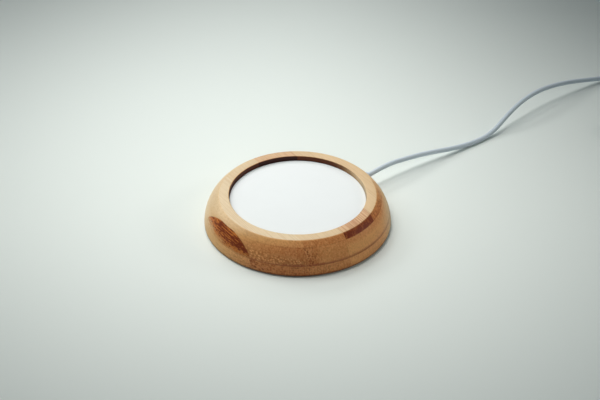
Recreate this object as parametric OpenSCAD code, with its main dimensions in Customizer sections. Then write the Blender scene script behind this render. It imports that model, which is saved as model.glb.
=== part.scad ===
// Round wireless charging pad: a turned, laminated bamboo ring around a white charging plate,
// with the coil, its driver board and the base plate inside, and a captive lead put away as a tied coil.
// Millimetres, +Z up. The origin is on the table under the middle of the pad, and the lead leaves along +Y.

/* [Bamboo shell] */
// Overall diameter of the pad
pad_d = 90; // [80:1:104]
// Height of the rim above the table
pad_h = 15.5; // [14:0.5:20]
// Width of the bowed side, from the pad's outside in to the rim's crease
side_w = 7.4; // [6:0.2:9]
// Width of the flat on top of the rim, from that crease in to the opening
rim_w = 4.8; // [4:0.2:6]
// Depth of the charging plate below the rim
recess = 2.4; // [2:0.1:3.2]
// Width of the ledge that the charging plate is bonded under
ledge_w = 2.2; // [1.8:0.1:2.8]
// Depth of that ledge's underside below the plate's face
ledge_drop = 1.4; // [1.2:0.1:1.8]
// Width of bamboo left around the base plate
base_edge = 4.5; // [4:0.25:5]
// Chamfer that breaks the turned edges
edge_break = 0.4; // [0.2:0.1:0.6]

/* [Charging plate] */
// Thickness of the plate over the coil
web_t = 1.2; // [1:0.1:1.4]
// Wall of the plate's skirt
skirt_t = 1.4; // [1:0.1:1.6]
// Thickness of the plate's flange
flange_t = 1; // [0.8:0.1:1.2]
// Thickness of the bond ring between flange and ledge
bond_t = 0.25; // [0.15:0.05:0.4]
// Radial gap between the plate and the opening
plate_gap = 0.15; // [0.1:0.05:0.3]
// Diameter of the bosses that carry the circuit board
boss_d = 4.6; // [4:0.2:5]
// Height of the bosses below the plate
boss_h = 3.5; // [3.2:0.1:4]

/* [Charging coil] */
// Turns of the winding
winding_turns = 10; // [8:1:10]
// Diameter of the insulated wire
winding_wire = 0.7; // [0.6:0.05:0.7]
// Gap from one turn to the next
winding_gap = 0.44; // [0.42:0.01:0.46]
// Thickness of the adhesive film over the winding
film_t = 0.15; // [0.1:0.05:0.25]
// Thickness of the ferrite disc
ferrite_t = 0.8; // [0.6:0.1:1]
// Width of ferrite past the outermost turn
ferrite_margin = 3; // [2:0.25:3.25]
// Gap between the ferrite disc and the plate's bosses
ferrite_gap = 0.75; // [0.5:0.05:1]

/* [Circuit board] */
// Thickness of the circuit board
board_t = 1; // [0.8:0.1:1.2]
// Gap between the board's rim and the cavity
board_gap = 4.4; // [4:0.2:5]
// Gap between the board's straight edge and the end of the lead's jacket
board_flat_gap = 5.5; // [4.5:0.5:6.5]
// Width of a two-transistor package over its body
transistor_w = 4; // [3.6:0.2:4.4]
// Height of a resonant capacitor
resonant_h = 2; // [1.6:0.1:2.4]

/* [Base] */
// Thickness of the base plate
base_t = 2.2; // [2:0.1:2.4]
// Height that the foot ring stands proud of the base
foot_proud = 0.4; // [0.3:0.1:1]
// Width of the foot ring
foot_w = 3.6; // [3.4:0.1:3.8]
// Depth of the foot ring's groove
groove_depth = 0.7; // [0.5:0.1:0.8]
// Number of screws that hold the base plate
base_screw_count = 4; // [3:1:6]
// Length of a base screw
base_screw_len = 6; // [5:0.5:7]

/* [Lead] */
// Diameter of the lead
lead_d = 2.5; // [2.2:0.1:2.6]
// Diameter of the lead's hole through the bamboo
lead_hole_d = 4.2; // [4:0.1:4.6]
// Diameter of the gland's flange inside the pad
gland_flange_d = 5.6; // [5.4:0.1:6.2]
// Thickness of that flange
gland_flange_t = 1.4; // [1:0.1:1.6]
// Width of the clamp that grips the lead's tail
clamp_w = 15.2; // [14:0.2:15.4]
// Height of the clamp bar
clamp_bar_h = 2.5; // [2.2:0.1:2.6]
// Diameter of a core of the lead, over its insulation
core_d = 0.9; // [0.8:0.05:1]

/* [Lead coil and plug] */
// Loops of the put-away coil, a whole number and a half
loops = 8.5; // [6.5:1:10.5]
// Radius of the coil's innermost loop
loop_in_r = 8.3; // [8:0.1:10]
// Gap from one loop to the next, across and up
loop_gap = 0.48; // [0.44:0.01:0.7]
// Thickness of the tie around the coil
tie_t = 0.5; // [0.4:0.1:0.8]
// Width of the tie
tie_w = 3.6; // [3:0.2:5]
// Width of the plug's moulded grip
grip_w = 15.6; // [14:0.2:17]
// Height of the plug's moulded grip
grip_h = 8; // [7.6:0.1:8.4]
// Length of the plug's moulded grip
grip_len = 19; // [16:0.5:24]
// Length of the plug's strain relief
relief_len = 9; // [7:0.5:12]

/* [Hidden] */
$fn = 64;

// Shared clearances: a sliding fit of mating edges, and a hair between stacked pieces
fit = 0.2;
hair = 0.05;
// Room around a screw in its hole
screw_fit = 0.1;
// Overshoot of a cut past the face it opens
past = 1;

// Radii of the shell, from the outside in
pad_r = pad_d / 2;
rim_r = pad_r - side_w;
opening_r = rim_r - rim_w;
cavity_r = opening_r + ledge_w;
base_seat_r = pad_r - base_edge;
base_r = base_seat_r - fit;
foot_r = (cavity_r + base_seat_r) / 2;

// Heights, from the table up
bamboo_z = foot_proud;
base_top_z = bamboo_z + base_t;
plate_z = pad_h - recess;
ledge_z = plate_z - ledge_drop;
flange_top_z = ledge_z - bond_t;
flange_z = flange_top_z - flange_t;
web_z = plate_z - web_t;
winding_z = web_z - film_t - hair - winding_wire / 2;
ferrite_top_z = winding_z - winding_wire / 2 - hair;
ferrite_z = ferrite_top_z - ferrite_t;
board_top_z = web_z - boss_h;
board_z = board_top_z - board_t;
gland_room = 0.35;
lead_z = flange_z - gland_room - gland_flange_d / 2;

// The bowed side is one arc that stands upright at the bamboo's foot and meets the rim's flat in a crease
side_h = pad_h - bamboo_z;
side_arc_r = (side_w * side_w + side_h * side_h) / (2 * side_w);

// Plate
skirt_r = opening_r - plate_gap;
skirt_in_r = skirt_r - skirt_t;
flange_r = cavity_r - fit;
boss_inset = 1;
boss_r = skirt_in_r - boss_inset - boss_d / 2;
boss_angles = [20, 160, 270];
boss_floor = 0.3;
boss_pilot_depth = boss_h - boss_floor;
plate_edge = 0.2;

// Winding, ferrite and foam: the ferrite fills the room inside the bosses, with the winding on it
ferrite_r = boss_r - boss_d / 2 - ferrite_gap;
winding_pitch = winding_wire + winding_gap;
winding_out_r = ferrite_r - ferrite_margin;
winding_in_r = winding_out_r - winding_turns * winding_pitch;
winding_rings = 24;
winding_sides = 6;
tail_bend_r = 1.8;
tail_bend_rings = 5;
film_edge = 1;
tail_slot_gap = 0.45;
tail_slot_r = winding_wire / 2 + tail_slot_gap;
foam_edge = 2;
foam_in_r = winding_in_r + foam_edge;
foam_out_r = winding_out_r - foam_edge;

// Lead inside the pad, and its clamp
clamp_inset = 7;
clamp_y = cavity_r - clamp_inset;
clamp_len = 6;
clamp_gap = 0.3;
saddle_h = lead_z - clamp_gap / 2 - base_top_z;
clamp_screw_d = 2;
clamp_screw_head_d = 3.6;
clamp_screw_head_h = 1.2;
clamp_screw_inset = 2.1;
clamp_screw_x = clamp_w / 2 - clamp_screw_inset;
clamp_screw_floor = 0.4;
clamp_screw_len = clamp_bar_h + clamp_gap + saddle_h - clamp_screw_floor;
gland_seat_gap = 0.4;
gland_in_y = cavity_r - gland_seat_gap - gland_flange_t;
gland_short = 0.4;
gland_out_y = pad_r - gland_short;
tail_stub = 1.5;
tail_end_y = clamp_y - clamp_len / 2 - tail_stub;
core_x = 0.6;
core_straight = 1;
core_run = 12.9;
core_dip = 1.9;
core_bend_r = 1.4;
core_rings = 5;
core_sides = 6;
core_pad_x = 1.6;
core_pad_y = tail_end_y - core_run;

// Board, with what is soldered under it
board_r = cavity_r - board_gap;
board_flat = tail_end_y - board_flat_gap;
board_screw_d = 2;
board_screw_head_d = 3.6;
board_screw_head_h = 1.2;
board_hole_d = board_screw_d + fit;
board_screw_len = board_t + boss_pilot_depth - fit;
controller_size = [5, 5, 0.9];
controller_at = [0, -1];
transistor_len = 5;
transistor_h = 1.5;
transistor_leg = 1;
transistor_leg_w = 0.4;
transistor_leg_pitch = 1.27;
transistor_at = [[-12, 5.5], [-12, -5.5]];
resonant_size = [3.2, 2.5];
resonant_inset = 5.4;
resonant_pitch = 5;
resonant_at = [for (row = [-1.5:1:1.5]) [winding_out_r - resonant_inset, row * resonant_pitch]];
bulk_size = [3.2, 1.6, 1.6];
bulk_gap = 2.6;
bulk_pitch = 4.5;
bulk_at = [for (column = [-1:1]) [column * bulk_pitch, core_pad_y - bulk_gap]];
resistor_size = [1.6, 0.8, 0.45];
resistor_y = -9;
resistor_pitch = [2.5, 2.2];
resistor_at = [
    for (row = [0:2], column = [-2:2])
    [column * resistor_pitch.x, resistor_y - row * resistor_pitch.y]
];
sense_size = [6.3, 3.2, 0.6];
sense_at = [-11, -13];
end_cap_share = 0.18;
end_cap_step = 0.96;
solder_d = 1.8;
solder_top_d = 0.72;
solder_h = 0.7;

// Base
base_screw_d = 1.8;
base_screw_head_d = 3;
base_screw_head_h = 0.9;
register_h = 1.2;
register_t = 1.2;
foot_fit = 0.1;
foot_edge = 0.3;
cross_w = 0.5;
cross_share = 0.6;

// The lead's way over the table, chosen by eye: a low arch out of the pad, down to the table, a second
// low arch, and down again to the coil
lead_sides = 8;
lead_route = [
    [-0.3, 54, 7.6], [-0.4, 62, 7.5], [0, 71, 6.6], [0.8, 81, 5.5], [2, 91, 4.1],
    [3.4, 101, 2.6], [4.4, 111, 1.5], [5, 119, 1.3], [4.9, 126, 1.5], [4.2, 133, 2.8], [2.7, 141, 5.1],
    [1.3, 149, 7.4], [0, 158, 9], [-0.9, 167, 9.7], [-1.4, 177, 9.4], [-1.2, 189, 8], [-0.3, 201, 6],
    [1.2, 213, 3.6], [2.8, 222, 2.1], [4.1, 231, 1.6], [4.8, 238, 1.8]
];
lead_steps = 2;

// Put-away coil: two layers that spiral in at a steady rate, climb in the half turn where the spiral
// reverses, and spiral out again. Its outermost loop starts in line with the lead
loop_start = [5, 246];
loop_rings = 24;
loop_sides = 6;
loop_soft = 0.004;
loop_pitch = lead_d + loop_gap;
loop_out_r = loop_in_r + loop_pitch * loops / 2;
coil_centre = [loop_start.x + loop_out_r, loop_start.y];
tie_gap = 0.15;
loop_z = tie_t + tie_gap + lead_d / 2;
loop_tail_run = 14;
tie_angle = 45;
tie_round = 1.2;

// Plug, a flat connector of standard size
plug_at = [coil_centre.x + loop_out_r, coil_centre.y - loop_tail_run - lead_d, grip_h / 2];
relief_d = 6.4;
relief_end_d = 4.2;
relief_core_d = 3.8;
relief_grooves = 4;
relief_groove_w = 0.8;
grip_round = 2;
grip_groove_w = 1;
grip_groove_depth = 0.5;
grip_groove_pitch = 3;
shell_w = 12;
shell_h = 4.5;
shell_t = 0.3;
shell_len = 18.75;
window_w = 2.5;
window_len = 2;
window_x = 2.5;
window_from_tip = 6;
tongue_h = 1.9;
tongue_len = 17;
contact_w = 1.2;
contact_t = 0.15;
contact_len = 9;
contact_x = [-3.5, -1, 1, 3.5];

// Colours as the photo shows them, or as such pieces have inside
bamboo_colour = "#c99e68";
plate_colour = "#eef3f2";
lead_colour = "#c9ced6";
copper_colour = "#a8602f";
steel_colour = "#b9bcc0";
board_colour = "#1f5c3a";
black_colour = "#222426";

// Sweep of a round section along points, carried without twist
function unit(v) = v / norm(v);

function heading(path, i) =
    unit(path[min(i + 1, len(path) - 1)] - path[max(i - 1, 0)]);

function square_to(v, along) = unit(v - (v * along) * along);

function carried(path, first) = [
    for (i = 0, side = square_to(first, heading(path, 0));
         i < len(path);
         i = i + 1, side = i < len(path) ? square_to(side, heading(path, i)) : side)
    side
];

function tube_points(path, d, sides, first) =
    let (side = carried(path, first))
    [
        for (i = [0:len(path) - 1], j = [0:sides - 1])
        let (across = cross(heading(path, i), side[i]), turn = 360 * j / sides)
        path[i] + d / 2 * (cos(turn) * side[i] + sin(turn) * across)
    ];

function tube_faces(rings, sides) = concat(
    [for (j = [1:sides - 2]) [0, j, j + 1]],
    [
        for (i = [0:rings - 2], j = [0:sides - 1], half = [0, 1])
        let (
            low = i * sides + j,
            low_next = i * sides + (j + 1) % sides,
            high = low + sides,
            high_next = low_next + sides
        )
        half == 0 ? [low, high, high_next] : [low, high_next, low_next]
    ],
    [for (j = [1:sides - 2]) [(rings - 1) * sides, (rings - 1) * sides + j + 1, (rings - 1) * sides + j]]
);

module tube(path, d, sides, first = [0, 0, 1]) {
    polyhedron(tube_points(path, d, sides, first), tube_faces(len(path), sides));
}

// A smooth curve through every point of a route
function through(a, b, c, e, t) =
    0.5 * (2 * b + (c - a) * t + (2 * a - 5 * b + 4 * c - e) * t * t + (3 * b - a - 3 * c + e) * t * t * t);

function smooth(points, steps) = concat(
    [
        for (i = [0:len(points) - 2], k = [0:steps - 1])
        let (before = points[max(i - 1, 0)], after = points[min(i + 2, len(points) - 1)])
        through(before, points[i], points[i + 1], after, k / steps)
    ],
    [points[len(points) - 1]]
);

function eased(t) = t <= 0 ? 0 : t >= 1 ? 1 : t * t * (3 - 2 * t);

function reach(points) = [for (i = [1:len(points) - 1]) norm(points[i] - points[i - 1])];

function total(values) = values * [for (v = values) 1];

// Winding: up from the board, out along the spiral and down to the board again
winding_spiral = [
    for (i = [0:winding_turns * winding_rings])
    let (turn = i / winding_rings, r = winding_in_r + winding_pitch * turn)
    [r * cos(360 * turn), r * sin(360 * turn), winding_z]
];

function tail_bend(r, way) = [
    for (k = [1:tail_bend_rings])
    let (a = 90 * k / tail_bend_rings)
    [r, way * tail_bend_r * sin(a), winding_z - tail_bend_r * (1 - cos(a))]
];

function tail(r, way) = concat(
    tail_bend(r, way),
    [[r, way * tail_bend_r, board_top_z]]
);

function backwards(points) = [for (i = [len(points) - 1:-1:0]) points[i]];

winding_path = concat(
    backwards(tail(winding_in_r, -1)),
    winding_spiral,
    tail(winding_out_r, 1)
);

// Put-away coil, clockwise from above
function loop_point(turn) =
    let (
        angle = 180 - 360 * turn,
        r = loop_in_r + loop_pitch * sqrt(pow(turn - loops / 2, 2) + loop_soft),
        climb = loop_pitch * eased((turn - loops / 2) * 2 + 0.5)
    )
    [coil_centre.x + r * cos(angle), coil_centre.y + r * sin(angle), loop_z + climb];

loop_turns = [for (i = [0:loops * loop_rings]) loop_point(i / loop_rings)];
loop_first = loop_turns[0];
loop_last = loop_turns[len(loop_turns) - 1];
loop_tail = [
    for (share = [0.25, 0.5, 0.75, 1])
    [plug_at.x, loop_last.y - loop_tail_run * share, loop_last.z + (plug_at.z - loop_last.z) * eased(share)]
];
loop_path = concat(
    [loop_first - [0, lead_d, 0]],
    loop_turns,
    loop_tail,
    [[plug_at.x, plug_at.y, plug_at.z]]
);
lead_first = [0, gland_out_y, lead_z];
lead_last = loop_path[0];
lead_path = concat(
    [lead_first],
    smooth(concat([lead_first + [0, lead_d, 0]], lead_route, [lead_last - [0, lead_d, 0]]), lead_steps),
    [lead_last]
);

// Least gap of a winding to itself, between points at least half a turn apart
function least_gap(path, d, rings) = min([
    for (i = [0:len(path) - 1], j = [i + rings / 2:1:len(path) - 1])
    norm(path[i] - path[j])
]) - d;

echo(least_gap_in_charging_coil = least_gap(winding_spiral, winding_wire, winding_rings));
echo(least_gap_in_lead_coil = least_gap(loop_path, lead_d, loop_rings));
echo(lead_length = total(reach(lead_path)) + total(reach(loop_path)));
echo(lead_shown = total(reach(lead_path)));

// Turns what follows to lie along +Y at the lead's height, from the given distance out
module along_y(y) {
    translate([0, y, lead_z])
        rotate([-90, 0, 0])
            children();
}

module around(r, angles) {
    for (a = angles)
        rotate(a)
            translate([r, 0, 0])
                children();
}

module rounded_rectangle(w, h, r) {
    square([w - 2 * r, h], center = true);
    square([w, h - 2 * r], center = true);
    for (x = [-1, 1], y = [-1, 1])
        translate([x * (w / 2 - r), y * (h / 2 - r)])
            circle(r);
}

// Screws are spread evenly, with the lead's exit midway between two of them
exit_angle = 90;
base_screw_angles = [for (k = [0:base_screw_count - 1]) exit_angle + 360 * (k + 0.5) / base_screw_count];

// Turned ring: the arc of the side, cut by the rim's flat, the stepped bore and the base's seat
module bamboo_section() {
    difference() {
        intersection() {
            translate([pad_r - side_arc_r, bamboo_z])
                circle(side_arc_r, $fn = 180);
            translate([0, bamboo_z])
                square([pad_r, side_h]);
        }
        translate([0, -past])
            square([opening_r, pad_h + 2 * past]);
        translate([0, -past])
            square([cavity_r, ledge_z + past]);
        translate([0, -past])
            square([base_seat_r, base_top_z + past]);
        polygon([
            [opening_r - past, pad_h + past],
            [opening_r - past, pad_h - edge_break - past],
            [opening_r + edge_break + past, pad_h + past]
        ]);
        polygon([
            [pad_r + past, bamboo_z - past],
            [pad_r + past, bamboo_z + edge_break + past],
            [pad_r - edge_break - past, bamboo_z - past]
        ]);
    }
}

module bamboo_shell() {
    color(bamboo_colour)
        difference() {
            rotate_extrude($fn = 180)
                bamboo_section();
            along_y(cavity_r - past)
                cylinder(d = lead_hole_d, h = base_edge + pad_r - cavity_r);
            around(foot_r, base_screw_angles)
                translate([0, 0, base_top_z - past])
                    cylinder(d = base_screw_d + screw_fit, h = base_screw_len + past);
        }
}

// Moulded top hat: thin web, skirt in the opening, flange under the ledge, bosses for the board
module charging_plate() {
    color(plate_colour) {
        rotate_extrude($fn = 180)
            polygon([
                [0, web_z],
                [0, plate_z],
                [skirt_r - plate_edge, plate_z],
                [skirt_r, plate_z - plate_edge],
                [skirt_r, flange_top_z],
                [flange_r, flange_top_z],
                [flange_r, flange_z],
                [skirt_in_r, flange_z],
                [skirt_in_r, web_z]
            ]);
        around(boss_r, boss_angles)
            translate([0, 0, board_top_z])
                difference() {
                    cylinder(d = boss_d, h = boss_h + hair);
                    translate([0, 0, -past])
                        cylinder(d = board_screw_d + screw_fit, h = boss_pilot_depth + past);
                }
    }
}

// Double-sided ring that bonds the flange under the ledge
module plate_bond_ring() {
    color("#d8d2c4")
        translate([0, 0, flange_top_z])
            difference() {
                cylinder(r = flange_r - fit, h = bond_t);
                translate([0, 0, -past])
                    cylinder(r = opening_r + fit, h = bond_t + 2 * past);
            }
}

// Adhesive film between winding and plate
module coil_film() {
    color("#e0c878")
        translate([0, 0, web_z - film_t])
            difference() {
                cylinder(r = winding_out_r + film_edge, h = film_t);
                translate([0, 0, -past])
                    cylinder(r = winding_in_r - film_edge, h = film_t + 2 * past);
            }
}

// Flat spiral winding, one unbroken wire
module charging_coil() {
    color(copper_colour)
        tube(winding_path, winding_wire, winding_sides, [0, 1, 0]);
}

// Slot that lets a tail of the winding drop through the ferrite, from its bend to its upright run
module tail_slot(r, way) {
    translate([r - tail_slot_r, min(0, way * tail_bend_r) - tail_slot_r, -past])
        cube([2 * tail_slot_r, tail_bend_r + 2 * tail_slot_r, ferrite_t + 2 * past]);
}

module ferrite_disc() {
    color("#3a3838")
        translate([0, 0, ferrite_z])
            difference() {
                cylinder(r = ferrite_r, h = ferrite_t);
                tail_slot(winding_in_r, -1);
                tail_slot(winding_out_r, 1);
            }
}

// Foam that presses the ferrite up from the board
module foam_pad() {
    color("#54585c")
        translate([0, 0, board_top_z])
            difference() {
                cylinder(r = foam_out_r, h = ferrite_z - board_top_z);
                translate([0, 0, -past])
                    cylinder(r = foam_in_r, h = ferrite_z - board_top_z + 2 * past);
            }
}

module circuit_board() {
    color(board_colour)
        translate([0, 0, board_z])
            difference() {
                cylinder(r = board_r, h = board_t);
                translate([-board_r, board_flat, -past])
                    cube([2 * board_r, board_r, board_t + 2 * past]);
                around(boss_r, boss_angles)
                    translate([0, 0, -past])
                        cylinder(d = board_hole_d, h = board_t + 2 * past);
            }
}

// A block hung under the board
module under_board(at, size) {
    translate([at.x - size.x / 2, at.y - size.y / 2, board_z - size.z])
        cube(size);
}

// A chip part with end caps a little taller than its middle
module end_capped(at, size) {
    cap = size.x * end_cap_share;
    under_board(at, [size.x - cap, size.y * end_cap_step, size.z * end_cap_step]);
    for (side = [-1, 1])
        under_board([at.x + side * (size.x - cap) / 2, at.y], [cap, size.y, size.z]);
}

module controller_chip() {
    color(black_colour)
        under_board(controller_at, controller_size);
}

// Two packages of paired transistors, each with four legs a side
module bridge_transistors() {
    color(black_colour)
        for (at = transistor_at) {
            under_board(at, [transistor_w, transistor_len, transistor_h]);
            for (side = [-1, 1], leg = [-1.5:1:1.5])
                under_board(
                    [at.x + side * (transistor_w + transistor_leg) / 2, at.y + leg * transistor_leg_pitch],
                    [transistor_leg + hair, transistor_leg_w, transistor_leg_w]
                );
        }
}

module resonant_capacitors() {
    color("#b58a5a")
        for (at = resonant_at)
            end_capped(at, [resonant_size.x, resonant_size.y, resonant_h]);
}

module bulk_capacitors() {
    color("#a87d50")
        for (at = bulk_at)
            end_capped(at, bulk_size);
}

module chip_resistors() {
    color(black_colour)
        for (at = resistor_at)
            end_capped(at, resistor_size);
}

module sense_resistor() {
    color(black_colour)
        end_capped(sense_at, sense_size);
}

// Low domes of solder on the far side of the board from each wire
module solder_dome(up) {
    rotate_extrude()
        polygon([
            [0, 0],
            [solder_d / 2, 0],
            [solder_top_d / 2, up * solder_h],
            [0, up * solder_h]
        ]);
}

module solder_joints() {
    color(steel_colour) {
        translate([winding_in_r, -tail_bend_r, board_z])
            solder_dome(-1);
        translate([winding_out_r, tail_bend_r, board_z])
            solder_dome(-1);
        for (side = [-1, 1])
            translate([side * core_pad_x, core_pad_y, board_top_z])
                solder_dome(1);
    }
}

// Cross recess cut into a screw's head, measured down from the head's face
module cross_recess(head_d, depth) {
    for (turn = [0, 90])
        rotate(turn)
            translate([-head_d * cross_share / 2, -cross_w / 2, -depth])
                cube([head_d * cross_share, cross_w, depth + past]);
}

// Pan-head screw whose head sits on z = 0 with the shank below
module pan_screw(d, len, head_d, head_h) {
    difference() {
        union() {
            cylinder(d = head_d, h = head_h);
            translate([0, 0, -len])
                cylinder(d = d, h = len + hair);
        }
        translate([0, 0, head_h])
            cross_recess(head_d, head_h * cross_share);
    }
}

// Countersunk screw whose face is at z = 0 with the shank below
module sunk_screw(d, len, head_d, head_h) {
    difference() {
        union() {
            translate([0, 0, -head_h])
                cylinder(d1 = d, d2 = head_d, h = head_h);
            translate([0, 0, -len])
                cylinder(d = d, h = len - head_h + hair);
        }
        cross_recess(head_d, head_h * cross_share);
    }
}

module board_screws() {
    color(steel_colour)
        around(boss_r, boss_angles)
            translate([0, 0, board_z])
                rotate([180, 0, 0])
                    pan_screw(board_screw_d, board_screw_len, board_screw_head_d, board_screw_head_h);
}

// Height of the groove's floor, where the screws' faces lie
groove_z = bamboo_z + groove_depth;

// Moulded base: groove for the foot, register in the cavity, and the saddle for the lead's tail
module base_plate() {
    color(black_colour) {
        difference() {
            rotate_extrude($fn = 180)
                difference() {
                    union() {
                        polygon([
                            [0, bamboo_z],
                            [base_r - edge_break, bamboo_z],
                            [base_r, bamboo_z + edge_break],
                            [base_r, base_top_z],
                            [0, base_top_z]
                        ]);
                        translate([cavity_r - fit - register_t, base_top_z - hair])
                            square([register_t, register_h + hair]);
                    }
                    translate([foot_r - foot_w / 2, bamboo_z - past])
                        square([foot_w, groove_depth + past]);
                }
            around(foot_r, base_screw_angles) {
                translate([0, 0, groove_z])
                    cylinder(
                        d1 = base_screw_head_d + 2 * screw_fit,
                        d2 = base_screw_d + screw_fit,
                        h = base_screw_head_h
                    );
                translate([0, 0, groove_z - hair])
                    cylinder(d = base_screw_d + screw_fit, h = base_t + past);
            }
            translate([-gland_flange_d / 2 - fit, gland_in_y - fit, base_top_z])
                cube([gland_flange_d + 2 * fit, pad_r, register_h + past]);
        }
        difference() {
            translate([-clamp_w / 2, clamp_y - clamp_len / 2, base_top_z - hair])
                cube([clamp_w, clamp_len, saddle_h + hair]);
            along_y(clamp_y - clamp_len)
                cylinder(d = lead_d + 2 * hair, h = 2 * clamp_len);
            for (side = [-1, 1])
                translate([side * clamp_screw_x, clamp_y, base_top_z + fit])
                    cylinder(d = clamp_screw_d + screw_fit, h = lead_z);
        }
    }
}

module base_screws() {
    color(steel_colour)
        around(foot_r, base_screw_angles)
            translate([0, 0, groove_z])
                rotate([180, 0, 0])
                    sunk_screw(base_screw_d, base_screw_len, base_screw_head_d, base_screw_head_h);
}

// Silicone ring that the pad stands on, bonded in the base's groove over the screws
module foot_ring() {
    foot_in = foot_r - foot_w / 2 + foot_fit;
    foot_out = foot_r + foot_w / 2 - foot_fit;
    color("#3c3f42")
        rotate_extrude($fn = 180)
            polygon([
                [foot_in, groove_z],
                [foot_in, foot_edge],
                [foot_in + foot_edge, 0],
                [foot_out - foot_edge, 0],
                [foot_out, foot_edge],
                [foot_out, groove_z]
            ]);
}

// Bar that grips the lead's tail on the base's saddle
module cable_clamp() {
    color(plate_colour)
        difference() {
            translate([-clamp_w / 2, clamp_y - clamp_len / 2, lead_z + clamp_gap / 2])
                cube([clamp_w, clamp_len, clamp_bar_h]);
            along_y(clamp_y - clamp_len)
                cylinder(d = lead_d + 2 * hair, h = 2 * clamp_len);
            for (side = [-1, 1])
                translate([side * clamp_screw_x, clamp_y, lead_z])
                    cylinder(d = clamp_screw_d + screw_fit, h = 2 * clamp_bar_h);
        }
}

module clamp_screws() {
    color(steel_colour)
        for (side = [-1, 1])
            translate([side * clamp_screw_x, clamp_y, lead_z + clamp_gap / 2 + clamp_bar_h])
                pan_screw(clamp_screw_d, clamp_screw_len, clamp_screw_head_d, clamp_screw_head_h);
}

// Moulded on the lead: a sleeve through the bamboo with a flange inside
module lead_gland() {
    color(lead_colour)
        along_y(gland_in_y) {
            cylinder(d = gland_flange_d, h = gland_flange_t);
            cylinder(d = lead_hole_d - 2 * hair, h = gland_out_y - gland_in_y);
        }
}

// Jacketed end of the lead inside the pad
module lead_tail() {
    color(lead_colour)
        along_y(tail_end_y)
            cylinder(d = lead_d, h = gland_in_y - tail_end_y);
}

// A core of the lead: straight out of the jacket, down under the board and up to its pad
function core_path(side) =
    let (core_z = board_z - core_dip, slope_run = core_run - core_straight - core_bend_r)
    concat(
        [[side * core_x, tail_end_y, lead_z]],
        [
            for (k = [0:core_rings])
            let (share = k / core_rings, done = eased(share))
            [
                side * (core_x + (core_pad_x - core_x) * done),
                tail_end_y - core_straight - slope_run * share,
                lead_z + (core_z - lead_z) * done
            ]
        ],
        [
            for (k = [1:core_rings])
            let (a = 90 * k / core_rings)
            [
                side * core_pad_x,
                core_pad_y + core_bend_r * (1 - sin(a)),
                core_z + core_bend_r * (1 - cos(a))
            ]
        ],
        [[side * core_pad_x, core_pad_y, board_z]]
    );

module core(side) {
    tube(core_path(side), core_d, core_sides);
}

module power_core() {
    color("#b0302a")
        core(1);
}

module ground_core() {
    color(black_colour)
        core(-1);
}

module lead() {
    color(lead_colour)
        tube(lead_path, lead_d, lead_sides);
}

module lead_coil() {
    color(lead_colour)
        tube(loop_path, lead_d, loop_sides);
}

// Flat tie around all the loops
module coil_tie() {
    tie_in = loop_in_r - lead_d / 2 - tie_gap;
    tie_out = loop_out_r + lead_d / 2 + tie_gap;
    tie_low = loop_z - lead_d / 2 - tie_gap;
    tie_high = loop_z + loop_pitch + lead_d / 2 + tie_gap;
    color("#e8e8e4")
        translate([coil_centre.x, coil_centre.y, 0])
            rotate(tie_angle)
                translate([(tie_in + tie_out) / 2, tie_w / 2, (tie_low + tie_high) / 2])
                    rotate([90, 0, 0])
                        linear_extrude(tie_w)
                            difference() {
                                rounded_rectangle(
                                    tie_out - tie_in + 2 * tie_t,
                                    tie_high - tie_low + 2 * tie_t,
                                    tie_round + tie_t
                                );
                                rounded_rectangle(tie_out - tie_in, tie_high - tie_low, tie_round);
                            }
}

// The plug's own axes: Z along the way it is pushed in, Y up from the table
module on_plug(along) {
    translate([plug_at.x, plug_at.y - along, plug_at.z])
        rotate([90, 0, 0])
            children();
}

// Moulded grip with finger grooves and a grooved, tapered strain relief
module plug_grip() {
    color(lead_colour) {
        on_plug(0)
            difference() {
                cylinder(d1 = relief_end_d, d2 = relief_d, h = relief_len + hair);
                for (k = [1:relief_grooves])
                    translate([0, 0, k * relief_len / (relief_grooves + 1)])
                        difference() {
                            cylinder(d = relief_d + past, h = relief_groove_w);
                            cylinder(d = relief_core_d, h = relief_groove_w);
                        }
            }
        on_plug(relief_len)
            difference() {
                linear_extrude(grip_len)
                    rounded_rectangle(grip_w, grip_h, grip_round);
                for (side = [-1, 1], k = [-1:1])
                    translate([
                        side * grip_w / 2 - grip_groove_depth,
                        -grip_h,
                        grip_len / 2 + k * grip_groove_pitch - grip_groove_w / 2
                    ])
                        cube([2 * grip_groove_depth, 2 * grip_h, grip_groove_w]);
            }
    }
}

// Folded steel shell with its four windows
module plug_shell() {
    color(steel_colour)
        on_plug(relief_len + grip_len)
            difference() {
                linear_extrude(shell_len)
                    difference() {
                        square([shell_w, shell_h], center = true);
                        square([shell_w - 2 * shell_t, shell_h - 2 * shell_t], center = true);
                    }
                for (side = [-1, 1])
                    translate([
                        side * window_x - window_w / 2,
                        -shell_h,
                        shell_len - window_from_tip - window_len
                    ])
                        cube([window_w, 2 * shell_h, window_len]);
            }
}

// Insulating tongue along the upper wall of the shell
module plug_tongue() {
    color("#f2f2ee")
        on_plug(relief_len + grip_len)
            translate([-shell_w / 2 + shell_t + hair, shell_h / 2 - shell_t - hair - tongue_h, 0])
                cube([shell_w - 2 * shell_t - 2 * hair, tongue_h, tongue_len]);
}

module plug_contacts() {
    color("#cfae5e")
        on_plug(relief_len + grip_len)
            for (x = contact_x)
                translate([
                    x - contact_w / 2,
                    shell_h / 2 - shell_t - hair - tongue_h - contact_t,
                    tongue_len - contact_len - past
                ])
                    cube([contact_w, contact_t, contact_len]);
}

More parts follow.
